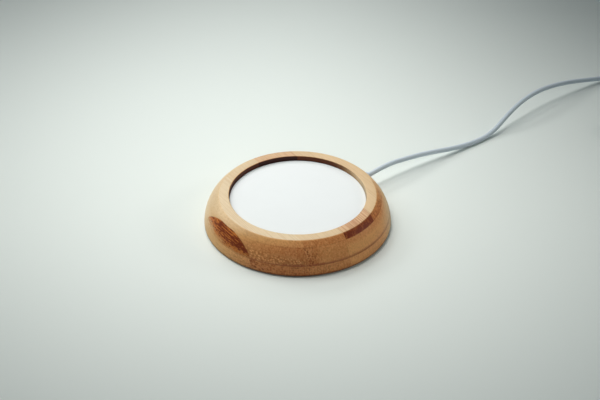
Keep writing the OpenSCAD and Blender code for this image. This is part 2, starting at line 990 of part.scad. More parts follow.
bamboo_shell();
charging_plate();
plate_bond_ring();
coil_film();
charging_coil();
ferrite_disc();
foam_pad();
circuit_board();
controller_chip();
bridge_transistors();
resonant_capacitors();
bulk_capacitors();
chip_resistors();
sense_resistor();
solder_joints();
board_screws();
base_plate();
base_screws();
foot_ring();
cable_clamp();
clamp_screws();
lead_gland();
lead_tail();
power_core();
ground_core();
lead();
lead_coil();
coil_tie();
plug_grip();
plug_shell();
plug_tongue();
plug_contacts();
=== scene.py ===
"""Looks of a round wireless charging pad: a turned bamboo ring, a white charging plate and a thin lead."""
import math

import bpy
from mathutils import Matrix, Vector


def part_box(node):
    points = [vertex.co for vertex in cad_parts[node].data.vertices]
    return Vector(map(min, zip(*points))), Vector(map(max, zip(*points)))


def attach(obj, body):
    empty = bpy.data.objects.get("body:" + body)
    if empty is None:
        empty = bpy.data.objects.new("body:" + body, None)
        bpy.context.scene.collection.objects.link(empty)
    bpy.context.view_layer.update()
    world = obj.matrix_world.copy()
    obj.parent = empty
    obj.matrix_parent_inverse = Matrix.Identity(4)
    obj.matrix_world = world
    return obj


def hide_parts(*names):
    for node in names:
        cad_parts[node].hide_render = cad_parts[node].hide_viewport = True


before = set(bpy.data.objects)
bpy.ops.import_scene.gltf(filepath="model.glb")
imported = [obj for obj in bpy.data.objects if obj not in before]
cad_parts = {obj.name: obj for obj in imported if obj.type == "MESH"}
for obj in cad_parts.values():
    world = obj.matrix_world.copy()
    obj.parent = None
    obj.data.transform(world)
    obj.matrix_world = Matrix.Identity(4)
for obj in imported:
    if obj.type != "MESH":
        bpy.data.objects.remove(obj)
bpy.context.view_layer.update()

# Stage
# A pale floor, a bank of soft boxes at the back left, weak ones at the right, in front and over the floor
# behind, and a cool fill. The camera stands in front, so the lead, which leaves along +Y, runs to the right.
MM = 0.001
scene = bpy.context.scene
scene.view_settings.view_transform = "Standard"
scene.view_settings.look = "None"


def add(tree, kind, values=None, **settings):
    """A node of that kind, with its settings, and its inputs given as values or as sockets to link."""
    made = tree.nodes.new(kind)
    for name, value in settings.items():
        setattr(made, name, value)
    for socket, value in (values or {}).items():
        if isinstance(value, bpy.types.NodeSocket):
            tree.links.new(value, made.inputs[socket])
        else:
            made.inputs[socket].default_value = value
    return made


def mixed(tree, share, first, second):
    """Two colours mixed by a share."""
    return add(tree, "ShaderNodeMix", {0: share, 6: first, 7: second}, data_type="RGBA").outputs[2]


def noise(tree, place, scale, detail=2.0, roughness=0.5):
    """A soft noise between 0 and 1."""
    return add(tree, "ShaderNodeTexNoise",
               {"Vector": place, "Scale": scale, "Detail": detail, "Roughness": roughness}).outputs[0]


def finish(name):
    """A new material, its node tree and its shader."""
    made = bpy.data.materials.new(name)
    made.use_nodes = True
    return made, made.node_tree, made.node_tree.nodes["Principled BSDF"]


def object_place(tree):
    """Object coordinates, in metres."""
    return add(tree, "ShaderNodeTexCoord").outputs["Object"]


def link_to(tree, shader, **sockets):
    """Links outputs to the shader's named sockets."""
    for name, output in sockets.items():
        tree.links.new(output, shader.inputs[name.replace("_", " ")])


floor_half = 3.0
floor_corners = [(x * floor_half, y * floor_half, 0.0) for x, y in ((-1, -1), (1, -1), (1, 1), (-1, 1))]
floor_mesh = bpy.data.meshes.new("floor")
floor_mesh.from_pydata(floor_corners, [], [(0, 1, 2, 3)])
floor = bpy.data.objects.new("floor", floor_mesh)
scene.collection.objects.link(floor)
paper_dark = (0.75, 0.811, 0.786, 1)
paper_light = (0.77, 0.831, 0.806, 1)
clouds_per_m = 4.0
paper, tree, shader = finish("pale_paper")
cloudy = noise(tree, object_place(tree), clouds_per_m)
link_to(tree, shader, Base_Color=mixed(tree, cloudy, paper_dark, paper_light))
shader.inputs["Roughness"].default_value = 0.9
shader.inputs["Specular IOR Level"].default_value = 0.2
floor_mesh.materials.append(paper)

fill = bpy.data.worlds.new("fill")
fill.use_nodes = True
fill.node_tree.nodes["Background"].inputs["Color"].default_value = (0.78, 0.94, 1.0, 1)
fill.node_tree.nodes["Background"].inputs["Strength"].default_value = 0.105
scene.world = fill


def aim(placed, target, roll=0.0):
    """Turns a light or camera at the target, rolled about its own view line."""
    looking = (placed.location - Vector(target)).to_track_quat("Z", "Y")
    placed.rotation_mode = "QUATERNION"
    placed.rotation_quaternion = looking @ Matrix.Rotation(roll, 3, "Z").to_quaternion()


def soft_box(name, place, target, size, power, colour, spread):
    """A square soft box, with the angle over which it throws its light."""
    lamp = bpy.data.lights.new(name, "AREA")
    lamp.size = size
    lamp.energy = power
    lamp.color = colour
    lamp.spread = math.radians(spread)
    placed = bpy.data.objects.new(name, lamp)
    placed.location = place
    scene.collection.objects.link(placed)
    aim(placed, target)


daylight = (1.0, 0.985, 0.955)
pool = Vector((-0.045, 0.008, 0.0))
bank_reach = 1.24
bank_turns = (-34, 0, 34)
bank_rises = (36, 55, 74)
for turn in bank_turns:
    for rise in bank_rises:
        level = bank_reach * math.cos(math.radians(rise))
        place = pool + Vector((-level * math.cos(math.radians(turn)), level * math.sin(math.radians(turn)),
                               bank_reach * math.sin(math.radians(rise))))
        soft_box(f"key_{turn}_{rise}", place, pool, size=0.30, power=0.0560, colour=daylight, spread=25)
soft_box("side_fill", place=(0.42, 0.60, 0.34), target=(0.01, 0.01, 0.008),
         size=0.20, power=0.021, colour=(1.0, 0.93, 0.83), spread=18)
soft_box("back_fill", place=(-0.20, 0.17, 0.90), target=(-0.20, 0.17, 0.0),
         size=0.20, power=0.020, colour=daylight, spread=18)
soft_box("front_fill", place=(0.58, -0.52, 0.42), target=(0.0, 0.0, 0.008),
         size=0.20, power=0.012, colour=(1.0, 0.94, 0.86), spread=21)

image_w = 600
sensor_w = 36.0
view_focal_px = 1272.9
view_roll = math.radians(0.487)
view_place = (0.3874, -0.3180, 0.3584)
view_target = (-0.01237, 0.01160, 0.0)
eye = bpy.data.cameras.new("eye")
eye.sensor_width = sensor_w
eye.lens = view_focal_px * sensor_w / image_w
camera = bpy.data.objects.new("eye", eye)
camera.location = view_place
scene.collection.objects.link(camera)
aim(camera, view_target, view_roll)
scene.camera = camera

# Bamboo ring
# Three layers of bamboo strips, glued with the grain all one way, turned on a lathe to a bowed side, a flat
# rim and a stepped bore, drilled for the lead and sealed with a thin satin lacquer.
pad_r = 45.0 * MM
rim_r = 37.6 * MM
opening_r = 32.8 * MM
cavity_r = 35.0 * MM
base_seat_r = 40.5 * MM
ledge_z = 11.7 * MM
base_top_z = 2.6 * MM
lead_hole_d = 4.2 * MM
bore_round = 0.45 * MM
crease_round = 3.0 * MM
foot_round = 0.35 * MM
inner_round = 0.1 * MM
side_points = 40
ring_segments = 288
round_steps = 5
drill_sides = 48
drill_run = 20.0 * MM
sharp_angle = math.radians(35)
ring_low, ring_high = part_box("bamboo_shell")
gland_low, gland_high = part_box("lead_gland")
foot_z = ring_low.z
rim_z = ring_high.z
lead_z = (gland_low.z + gland_high.z) / 2


def bowed_side():
    """The arc from the rim's crease down to the foot, where it stands upright."""
    run = pad_r - rim_r
    rise = rim_z - foot_z
    radius = (run * run + rise * rise) / (2 * run)
    top = math.asin(rise / radius)
    turns = [top * (1 - k / side_points) for k in range(1, side_points)]
    return [(pad_r - radius + radius * math.cos(a), foot_z + radius * math.sin(a)) for a in turns]


def new_group(name, kind, inputs, outputs):
    """A node group with named inputs and outputs of the given kinds, and the sockets of its input node."""
    made = bpy.data.node_groups.new(name, kind)
    for way, sockets in (("INPUT", inputs), ("OUTPUT", outputs)):
        for socket, socket_kind in sockets.items():
            made.interface.new_socket(socket, in_out=way, socket_type="NodeSocket" + socket_kind)
    return made, add(made, "NodeGroupInput").outputs


def maths(tree, operation, *values):
    """The result of one Math node."""
    return add(tree, "ShaderNodeMath", dict(enumerate(values)), operation=operation).outputs[0]


def times(tree, first, second):
    """The product of two values."""
    return maths(tree, "MULTIPLY", first, second)


def turned_tree():
    """Turns a profile, with the radius across and the height up, into a lathed and drilled piece."""
    made, given = new_group(
        "turned_piece", "GeometryNodeTree",
        {"Profile": "Geometry", "Segments": "Int", "Round steps": "Int", "Path radius": "Float",
         "Hole diameter": "Float", "Hole height": "Float", "Sharp angle": "Float", "Finish": "Material"},
        {"Piece": "Geometry"})
    rounding = add(made, "GeometryNodeInputNamedAttribute", {"Name": "edge_round"}, data_type="FLOAT")
    outline = add(made, "GeometryNodeMeshToCurve", {"Mesh": given["Profile"]})
    rounded = add(made, "GeometryNodeFilletCurve", {
        "Curve": outline.outputs[0], "Count": given["Round steps"], "Radius": rounding.outputs[0],
        "Limit Radius": True}, mode="POLY")
    path = add(made, "GeometryNodeCurvePrimitiveCircle", {
        "Resolution": given["Segments"], "Radius": given["Path radius"]}, mode="RADIUS")
    swept = add(made, "GeometryNodeCurveToMesh", {
        "Curve": path.outputs[0], "Profile Curve": rounded.outputs[0]})
    drill = add(made, "GeometryNodeMeshCylinder", {
        "Vertices": drill_sides, "Radius": times(made, given["Hole diameter"], 0.5), "Depth": drill_run})
    hole_place = add(made, "ShaderNodeCombineXYZ", {"Y": pad_r, "Z": given["Hole height"]})
    drill_set = add(made, "GeometryNodeTransform", {
        "Geometry": drill.outputs[0], "Translation": hole_place.outputs[0],
        "Rotation": (math.radians(90), 0.0, 0.0)})
    drilled = add(made, "GeometryNodeMeshBoolean", {
        "Mesh 1": swept.outputs[0], "Mesh 2": drill_set.outputs[0]}, operation="DIFFERENCE", solver="EXACT")
    smooth = add(made, "GeometryNodeSetShadeSmooth", {
        "Geometry": drilled.outputs[0], "Shade Smooth": True}, domain="FACE")
    angle = add(made, "GeometryNodeInputMeshEdgeAngle")
    soft = add(made, "FunctionNodeCompare", {0: angle.outputs[0], 1: given["Sharp angle"]},
               operation="LESS_THAN")
    creased = add(made, "GeometryNodeSetShadeSmooth", {
        "Geometry": smooth.outputs[0], "Shade Smooth": soft.outputs[0]}, domain="EDGE")
    whole = add(made, "GeometryNodeRealizeInstances", {0: creased.outputs[0]})
    dressed = add(made, "GeometryNodeSetMaterial", {
        "Geometry": whole.outputs[0], "Material": given["Finish"]})
    add(made, "NodeGroupOutput", {0: dressed.outputs[0]})
    return made


TURNED = turned_tree()


def made_mesh(name, carrier):
    """Turns what the carrier's modifiers make into a plain mesh object at the origin."""
    scene.collection.objects.link(carrier)
    ready = bpy.context.evaluated_depsgraph_get()
    mesh = bpy.data.meshes.new_from_object(carrier.evaluated_get(ready))
    mesh.name = name
    bpy.data.objects.remove(carrier)
    piece = bpy.data.objects.new(name, mesh)
    scene.collection.objects.link(piece)
    return piece


def turned(name, outline, finish_used, hole_d, hole_z):
    """A lathed piece from an outline of (radius, height, edge rounding), with a hole drilled along Y."""
    profile = bpy.data.meshes.new(name + "_profile")
    path_r = outline[0][0]
    # The swept profile's second axis points down
    profile.from_pydata(
        [(r - path_r, -z, 0.0) for r, z, _ in outline],
        [(k, (k + 1) % len(outline)) for k in range(len(outline))], [])
    rounding = profile.attributes.new("edge_round", "FLOAT", "POINT")
    rounding.data.foreach_set("value", [soft for _, _, soft in outline])
    carrier = bpy.data.objects.new(name + "_carrier", profile)
    modifier = carrier.modifiers.new("turned", "NODES")
    modifier.node_group = TURNED
    values = {"Segments": ring_segments, "Round steps": round_steps, "Path radius": path_r,
              "Hole diameter": hole_d, "Hole height": hole_z, "Sharp angle": sharp_angle,
              "Finish": finish_used}
    for item in TURNED.interface.items_tree:
        if item.name in values:
            modifier[item.identifier] = values[item.name]
    return made_mesh(name, carrier)


def stretched(tree, place, scale):
    """A place scaled along its three axes."""
    return add(tree, "ShaderNodeVectorMath", {0: place, 1: scale}, operation="MULTIPLY").outputs[0]


def streaked(tree, place, scale, detail=2.0, roughness=0.5):
    """A soft noise with its own scale along each of the three axes."""
    return noise(tree, stretched(tree, place, scale), 1.0, detail, roughness)


def cells_of(tree, place, pitch, randomness):
    """Cells round scattered points: the distance to the nearest point, and a colour drawn for each cell."""
    return add(tree, "ShaderNodeTexVoronoi", {
        "Vector": place, "Scale": 1 / pitch, "Randomness": randomness}).outputs


def ranged(tree, share, low, high):
    """Low where a share is 0, high where it is 1."""
    return maths(tree, "MULTIPLY_ADD", share, high - low, low)


def stepped(tree, value, span, start=0.0, end=1.0):
    """Taken smoothly from start to end as a value goes from the low to the high end of its span."""
    low, high = span
    return add(tree, "ShaderNodeMapRange", {0: value, 1: low, 2: high, 3: start, 4: end},
               interpolation_type="SMOOTHSTEP").outputs[0]


def bump(tree, shader, height, strength, depth):
    """A bump of the given depth in metres, on the shader's normal."""
    made = add(tree, "ShaderNodeBump", {"Strength": strength, "Distance": depth, "Height": height})
    tree.links.new(made.outputs[0], shader.inputs["Normal"])


def bamboo_finish(name, specular, coat):
    """Laminated bamboo: strips in three layers, fibre bundles along the grain, darker on the end grain."""
    made, tree, shader = finish(name)
    # Places in millimetres: along the grain, across it and up. Scales of noise are per millimetre of these.
    grain_turn = math.radians(4.6)
    in_mm = add(tree, "ShaderNodeMapping", {
        "Vector": object_place(tree), "Rotation": (0, 0, grain_turn),
        "Scale": (1 / MM, 1 / MM, 1 / MM)}).outputs[0]
    along, across, up = add(tree, "ShaderNodeSeparateXYZ", {0: in_mm}).outputs

    # Which layer a point lies in (1 top, 0 middle, -1 low), and which strip of it
    strip_w = 19.25
    lower_offset, upper_offset = -1.5, -0.8
    glue_low_z, glue_high_z = 5.55, 13.1
    layer_step = 10.0
    key_slack = 0.1
    top_layer = maths(tree, "GREATER_THAN", up, glue_high_z)
    low_layer = maths(tree, "LESS_THAN", up, glue_low_z)
    layer = maths(tree, "SUBTRACT", top_layer, low_layer)
    mid_layer = maths(tree, "LESS_THAN", maths(tree, "ABSOLUTE", layer), 0.5)
    offset = ranged(tree, top_layer, lower_offset, upper_offset)
    strip_place = maths(tree, "DIVIDE", maths(tree, "SUBTRACT", across, offset), strip_w)
    strip = maths(tree, "FLOOR", strip_place)
    in_strip = maths(tree, "FRACT", strip_place)
    strip_key = maths(tree, "MULTIPLY_ADD", layer, layer_step, strip)

    def lies_in(layer_number, strip_number):
        """1 in that strip of that layer, and 0 elsewhere."""
        return maths(tree, "COMPARE", strip_key, layer_step * layer_number + strip_number, key_slack)

    red_strip = lies_in(1, 0)
    left_half = maths(tree, "LESS_THAN", strip, -0.5)
    right_half = maths(tree, "GREATER_THAN", strip, -0.5)
    outer_mid = times(tree, mid_layer, maths(tree, "LESS_THAN", strip, -1.5))
    skin_edged = maths(tree, "MAXIMUM", lies_in(0, -1), lies_in(-1, -2))

    # How dark each strip is, by its layer and number
    strip_tones = {
        (1, -2): 0.05, (1, -1): 0.48, (1, 1): 0.82,
        (0, -3): 0.15, (0, -2): 0.50, (0, -1): 0.35, (0, 0): 0.36, (0, 1): 0.34,
        (-1, -3): 0.25, (-1, -2): 0.60, (-1, -1): 0.40, (-1, 0): 0.12, (-1, 1): 0.10}
    other_tone = 0.3
    tone = other_tone
    for (layer_number, strip_number), own_tone in strip_tones.items():
        tone = maths(tree, "MULTIPLY_ADD", lies_in(layer_number, strip_number), own_tone - other_tone, tone)

    # On the end grain the tone drifts: darker to the skin, a corner, a seam and the foot, paler in the core
    edge_span, edge_dark = (0.0, 0.50), 0.40
    skin_span, skin_dark = (0.35, 1.0), 0.14
    foot_heights, foot_dark = (1.2, 4.2), 0.26
    corner_span, corner_heights, corner_dark = (0.04, 0.30), (6.8, 9.2), 0.60
    seam_span, seam_dark = (0.7, 1.0), 0.20
    glue_heights, glue_dark = (glue_high_z, glue_high_z + 1.4), 0.24
    front_span, front_pale, front_dark = (0.0, 0.9), 0.02, 0.06
    core_z, core_span, core_pale = 8.8, (0.5, 3.2), -0.55
    core_gap = maths(tree, "ABSOLUTE", maths(tree, "SUBTRACT", up, core_z))
    corner = times(tree, stepped(tree, in_strip, corner_span, corner_dark, 0.0),
                   stepped(tree, up, corner_heights, 1.0, 0.0))
    top_left = maths(tree, "MAXIMUM", stepped(tree, in_strip, seam_span, 0.0, seam_dark),
                     stepped(tree, up, glue_heights, glue_dark, 0.0))
    drifts = (
        (stepped(tree, in_strip, edge_span, edge_dark, 0.0), skin_edged),
        (stepped(tree, in_strip, skin_span, 0.0, skin_dark), lies_in(0, -2)),
        (stepped(tree, up, foot_heights, foot_dark, 0.0), low_layer),
        (stepped(tree, core_gap, core_span, core_pale, 0.0), right_half),
        (stepped(tree, in_strip, front_span, front_pale, front_dark), lies_in(1, -1)),
        (corner, lies_in(0, -1)),
        (top_left, lies_in(1, -2)))
    end_tone = tone
    for drift, where in drifts:
        end_tone = maths(tree, "MULTIPLY_ADD", drift, where, end_tone)

    # Cut fibres mottle the end grain, more so at the left
    cut_scale = (1.35, 1.35, 0.60)
    mottle_span, left_mottle, right_mottle = (-10.0, 8.0), 1.75, 1.05
    cut_fibres = streaked(tree, in_mm, cut_scale, 2.0, 0.6)
    mottle = stepped(tree, across, mottle_span, left_mottle, right_mottle)
    end_tone = maths(tree, "MULTIPLY_ADD", maths(tree, "SUBTRACT", cut_fibres, 0.5), mottle, end_tone)

    # Fibre bundles: dots on the end grain, long fine streaks beside it, begun anew in each strip
    bundle_pitch, bundle_scale, bundle_scatter = 0.85, (0.25, 1.0, 1.0), 0.8
    dot_span, least_dot = (0.25, 0.68), 0.3
    fine_dot_span, least_fine_dot = (0.15, 0.48), 0.5
    strip_shift = 7.3
    drawn_scale = (0.02, 1.0, 1.0)
    band_scale = (0.8, 0.45, 0.45)
    stripe_scale, stripe_span = (0.6, 1.3, 1.3), (0.38, 0.62)
    fibre_scale, fibre_span = (1.2, 3.2, 3.2), (0.48, 0.72)
    line_scale, line_span = (0.5, 1.7, 1.7), (0.64, 0.70)
    patch_scale = 0.16
    bundles = cells_of(tree, stretched(tree, in_mm, bundle_scale), bundle_pitch, bundle_scatter)
    bundle_draw = add(tree, "ShaderNodeSeparateColor", {0: bundles["Color"]}).outputs[0]
    dots = stepped(tree, bundles["Distance"], dot_span, 1.0, 0.0)
    between = maths(tree, "SUBTRACT", 1.0, dots)
    uneven_dots = times(tree, dots, ranged(tree, bundle_draw, least_dot, 1.0))
    fine_dots = times(tree, stepped(tree, bundles["Distance"], fine_dot_span, 1.0, 0.0),
                      ranged(tree, bundle_draw, least_fine_dot, 1.0))
    drawn = stretched(tree, in_mm, drawn_scale)
    shift = add(tree, "ShaderNodeCombineXYZ", {0: times(tree, strip, strip_shift)}).outputs[0]
    shifted = add(tree, "ShaderNodeVectorMath", {0: drawn, 1: shift}, operation="ADD").outputs[0]
    bands = streaked(tree, shifted, band_scale, 3.0, 0.6)
    stripes = stepped(tree, streaked(tree, shifted, stripe_scale), stripe_span)
    fibres = stepped(tree, streaked(tree, shifted, fibre_scale), fibre_span)
    grain_lines = stepped(tree, streaked(tree, shifted, line_scale, 1.0), line_span)
    patchy = noise(tree, in_mm, patch_scale)

    # Bundles crowd towards a strip's skin: its lower face in the middle layer, one edge in the others
    least_crowd, most_top_crowd, red_crowd = 0.14, 0.8, 0.55
    edge_start, mid_reach, low_reach = 0.05, 0.40, 0.70
    skin_slope, skin_heights, far_skin_crowd = 0.15, (3.8, 7.1), 0.1
    low_crowd_span, left_low_crowd, right_low_crowd = (-18.0, 0.0), 0.46, 0.06
    second_strip = (0.4, 0.6)
    patch_span, least_patch = (0.28, 0.58), 0.8
    edge_reach = ranged(tree, low_layer, mid_reach, low_reach)
    edge_crowd = times(tree, stepped(tree, in_strip, (edge_start, edge_reach), 1.0, 0.0), skin_edged)
    skin_height = maths(tree, "MULTIPLY_ADD", across, skin_slope, up)
    skin_crowd = times(tree, stepped(tree, skin_height, skin_heights, 1.0, far_skin_crowd), outer_mid)
    low_crowd = stepped(tree, across, low_crowd_span, left_low_crowd, right_low_crowd)
    top_crowd = times(tree, top_layer, stepped(tree, strip, second_strip, least_crowd, most_top_crowd))
    crowd = maths(tree, "MULTIPLY_ADD", low_layer, low_crowd, least_crowd)
    for other_crowd in (skin_crowd, edge_crowd, top_crowd):
        crowd = maths(tree, "MAXIMUM", crowd, other_crowd)
    crowd = times(tree, crowd, stepped(tree, patchy, patch_span, least_patch, 1.0))
    crowd = maths(tree, "MAXIMUM", crowd, times(tree, red_strip, red_crowd))

    # How far the surface is cut across the grain, and how far it stands beside it, less so high on the side
    flat_span = (0.92, 0.985)
    high_heights, low_heights = (10.5, 15.0), (2.5, 9.0)
    beside_span, low_tilt, high_tilt = (-0.58, 0.12), 0.24, -0.32
    end_span, end_tilt = (-0.08, 0.55), -0.14
    sheen_span, sheen_tilt = (0.42, 0.76), -0.10
    cut_span = (-0.22, 0.30)
    facing_out = add(tree, "ShaderNodeTexCoord").outputs["Normal"]

    def faces_along(line):
        """How far the surface faces along a line."""
        return add(tree, "ShaderNodeVectorMath", {0: facing_out, 1: line},
                   operation="DOT_PRODUCT").outputs["Value"]

    facing = faces_along((math.cos(grain_turn), -math.sin(grain_turn), 0.0))
    sideways = faces_along((math.sin(grain_turn), math.cos(grain_turn), 0.0))
    on_side = stepped(tree, faces_along((0.0, 0.0, 1.0)), flat_span, 1.0, 0.0)
    high_side = stepped(tree, up, high_heights)
    low_side = stepped(tree, up, low_heights, 1.0, 0.0)
    beside = maths(tree, "MULTIPLY_ADD", low_side, low_tilt, facing)
    beside = stepped(tree, maths(tree, "MULTIPLY_ADD", high_side, high_tilt, beside), beside_span)
    end_grain = stepped(tree, maths(tree, "MULTIPLY_ADD", high_side, end_tilt, facing), end_span)
    end_grain = times(tree, on_side, end_grain)
    cut_end = times(tree, stepped(tree, facing, cut_span), on_side)
    # How far the end grain turns to the back, where a pale sheen is painted on
    sheen_mask = stepped(tree, maths(tree, "MULTIPLY_ADD", high_side, sheen_tilt, sideways), sheen_span)

    # The dark leaf: the skin side of the middle layer's outer strip, where the turning only grazes it
    leaf_edge, leaf_edge_slope, leaf_edge_span = -39.85, 0.015, (-0.08, 0.22)
    leaf_low, leaf_slope, leaf_span = 6.5, -0.14, (-2.9, 1.7)
    leaf_streak_scale, leaf_line_scale = (0.13, 1.15, 1.15), (0.09, 1.7, 1.7)
    pore_pitch, pore_scale, pore_scatter, pore_span = 1.0, (0.55, 1.1, 1.1), 0.9, (0.15, 0.55)
    streak_tear, line_tear = 3.6, 4.0
    low_tear, glue_tear, glue_rise = 4.05, 5.15, 1.6
    leaf_streaks = streaked(tree, in_mm, leaf_streak_scale, 2.5, 0.6)
    leaf_lines = streaked(tree, in_mm, leaf_line_scale)
    pores = cells_of(tree, stretched(tree, in_mm, pore_scale), pore_pitch, pore_scatter)
    pore_dots = stepped(tree, pores["Distance"], pore_span, 1.0, 0.0)
    torn = maths(tree, "MULTIPLY_ADD", leaf_streaks, streak_tear, pore_dots)
    torn = maths(tree, "MULTIPLY_ADD", leaf_lines, line_tear, torn)
    over_low = maths(tree, "SUBTRACT", maths(tree, "ADD", up, maths(tree, "SUBTRACT", torn, low_tear)),
                     maths(tree, "MULTIPLY_ADD", along, leaf_slope, leaf_low))
    over_glue = maths(tree, "SUBTRACT", up, glue_low_z)
    above = maths(tree, "MINIMUM", over_low, maths(
        tree, "MULTIPLY_ADD", over_glue, glue_rise, maths(tree, "SUBTRACT", torn, glue_tear)))
    edge_line = maths(tree, "MULTIPLY_ADD", along, leaf_edge_slope, leaf_edge)
    past_edge = maths(tree, "SUBTRACT", edge_line, across)
    leaf = times(tree, mid_layer, stepped(tree, past_edge, leaf_edge_span))
    leaf = times(tree, leaf, stepped(tree, above, leaf_span))

    # Colours of the rim's flat face
    pale = (0.74, 0.605, 0.40, 1)
    tan = (0.655, 0.445, 0.235, 1)
    pink = (0.52, 0.26, 0.125, 1)
    pink_pale = (0.69, 0.46, 0.26, 1)
    fibre_brown = (0.52, 0.31, 0.14, 1)
    line_brown = (0.36, 0.17, 0.07, 1)
    grey_drift = (0.30, 0.26, 0.17, 1)
    tone_share, fibre_share = 0.70, 0.40
    plain_stripe, stripe_reach, least_stripe = 0.82, (-26.0, 2.0), 0.25
    line_reach, left_lines, right_lines = (-14.0, 6.0), 0.16, 0.42
    grey_drift_reach, grey_drift_share = (-34.0, -12.0), 0.09
    face_share = maths(tree, "MULTIPLY_ADD", tone, tone_share, times(tree, bands, 1 - tone_share))
    face = mixed(tree, face_share, pale, tan)
    striped = stepped(tree, along, stripe_reach, least_stripe, 1.0)
    pink_stripes = maths(tree, "MULTIPLY_ADD", maths(tree, "SUBTRACT", stripes, plain_stripe),
                         striped, plain_stripe)
    face = mixed(tree, red_strip, face, mixed(tree, pink_stripes, pink, pink_pale))
    face = mixed(tree, times(tree, fibres, fibre_share), face, fibre_brown)
    line_share = stepped(tree, across, line_reach, left_lines, right_lines)
    face = mixed(tree, times(tree, grain_lines, line_share), face, line_brown)
    # The flat turns a little greyer and darker towards its -X end
    face = mixed(tree, stepped(tree, along, grey_drift_reach, grey_drift_share, 0.0), face, grey_drift)

    # Colours of the side where the grain runs along it
    side_pale = (0.79, 0.63, 0.385, 1)
    side_painted_shade = (0.71, 0.535, 0.32, 1)
    side_painted_light = (0.86, 0.655, 0.40, 1)
    side_tan = (0.70, 0.39, 0.140, 1)
    dark_red = (0.185, 0.025, 0.0045, 1)
    painted_shade_heights = (5.0, 13.0)
    painted_light_span = (-0.36, -0.10)
    pit_span, pit_share = (0.45, 0.75), 0.34
    side_fibre_share, side_red_share = 0.12, 0.6
    # Painted shade: the side darkens towards the top, where less light falls
    side = mixed(tree, stepped(tree, up, painted_shade_heights), side_pale, side_painted_shade)
    # Painted light: high on the side, where it turns from the lamps, it is painted paler and warmer
    side = mixed(tree, times(tree, high_side, stepped(tree, facing, painted_light_span)), side, side_painted_light)
    side = mixed(tree, beside, side, side_tan)
    side = mixed(tree, times(tree, fibres, side_fibre_share), side, fibre_brown)
    side = mixed(tree, stepped(tree, cut_fibres, pit_span, 0.0, pit_share), side, fibre_brown)
    side = mixed(tree, times(tree, red_strip, side_red_share), side, dark_red)
    face = mixed(tree, on_side, face, side)

    # Colours of the end grain
    end_pale = (0.78, 0.375, 0.132, 1)
    end_tan = (0.46, 0.125, 0.029, 1)
    end_painted_sheen = (0.70, 0.475, 0.25, 1)
    red_light = (0.34, 0.085, 0.018, 1)
    red_reach, red_start, red_end = (0.15, 0.60), 0.02, -0.09
    red_span, dot_mottle = (0.34, 0.60), -0.20
    end = mixed(tree, end_tone, end_pale, end_tan)
    red_mottle = maths(tree, "ADD", bands, stepped(tree, in_strip, red_reach, red_start, red_end))
    red_mottle = maths(tree, "MULTIPLY_ADD", uneven_dots, dot_mottle, red_mottle)
    red_mottle = stepped(tree, red_mottle, red_span)
    end = mixed(tree, red_strip, end, mixed(tree, red_mottle, dark_red, red_light))
    # Painted sheen: end grain turning to the back is painted paler, standing in for a reflection
    end = mixed(tree, sheen_mask, end, end_painted_sheen)
    wood = mixed(tree, end_grain, face, end)

    # Bundles: pale dots in dark gaps on the middle layer's skin, dark dots elsewhere, pale gaps at skin edges
    bundle_brown = (0.15, 0.034, 0.008, 1)
    bundle_pale = (0.86, 0.46, 0.175, 1)
    pale_dot_share, gap_share = 0.80, 0.34
    dark_dot_share, thin_dot_share, least_dot_share = 0.62, 0.07, 0.04
    speckle = times(tree, cut_end, crowd)
    skin_speckle = times(tree, skin_crowd, speckle)
    gaps = times(tree, between, gap_share)
    dark_gaps = times(tree, skin_speckle, gaps)
    pale_gaps = times(tree, times(tree, edge_crowd, speckle), gaps)
    pale_dots = times(tree, times(tree, skin_speckle, fine_dots), pale_dot_share)
    other_dots = times(tree, uneven_dots, maths(tree, "SUBTRACT", 1.0, skin_crowd))
    dot_share = maths(tree, "MULTIPLY_ADD", cut_end, thin_dot_share, least_dot_share)
    dot_share = maths(tree, "MULTIPLY_ADD", speckle, dark_dot_share, dot_share)
    wood = mixed(tree, dark_gaps, wood, bundle_brown)
    wood = mixed(tree, maths(tree, "MAXIMUM", pale_dots, pale_gaps), wood, bundle_pale)
    wood = mixed(tree, times(tree, other_dots, dot_share), wood, bundle_brown)

    # The leaf's own streaks, paler towards its low edge and its top
    leaf_dark = (0.175, 0.028, 0.004, 1)
    leaf_light = (0.53, 0.165, 0.030, 1)
    leaf_fade = (0.47, 0.215, 0.050, 1)
    leaf_tone, pore_tone, streak_tone, line_tone = -1.48, -0.24, 2.2, 2.6
    leaf_reach, near_pale = (-12.0, 13.0), 0.12
    leaf_rise, low_pale, high_dark = (-1.5, 4.2), 0.60, -0.02
    leaf_top, top_pale = (8.6, 12.2), 0.22
    light_span = (0.82, 1.40)
    fade_span, fade_share = (-2.0, 2.0), 0.90
    leaf_share = maths(tree, "MULTIPLY_ADD", pore_dots, pore_tone, leaf_tone)
    leaf_share = maths(tree, "MULTIPLY_ADD", leaf_streaks, streak_tone, leaf_share)
    leaf_share = maths(tree, "MULTIPLY_ADD", leaf_lines, line_tone, leaf_share)
    for drift in (stepped(tree, along, leaf_reach, near_pale, 0.0),
                  stepped(tree, above, leaf_rise, low_pale, high_dark),
                  stepped(tree, up, leaf_top, 0.0, top_pale)):
        leaf_share = maths(tree, "ADD", leaf_share, drift)
    leaf_colour = mixed(tree, stepped(tree, leaf_share, light_span), leaf_dark, leaf_light)
    leaf_colour = mixed(tree, stepped(tree, above, fade_span, fade_share, 0.0), leaf_colour, leaf_fade)
    wood = mixed(tree, leaf, wood, leaf_colour)

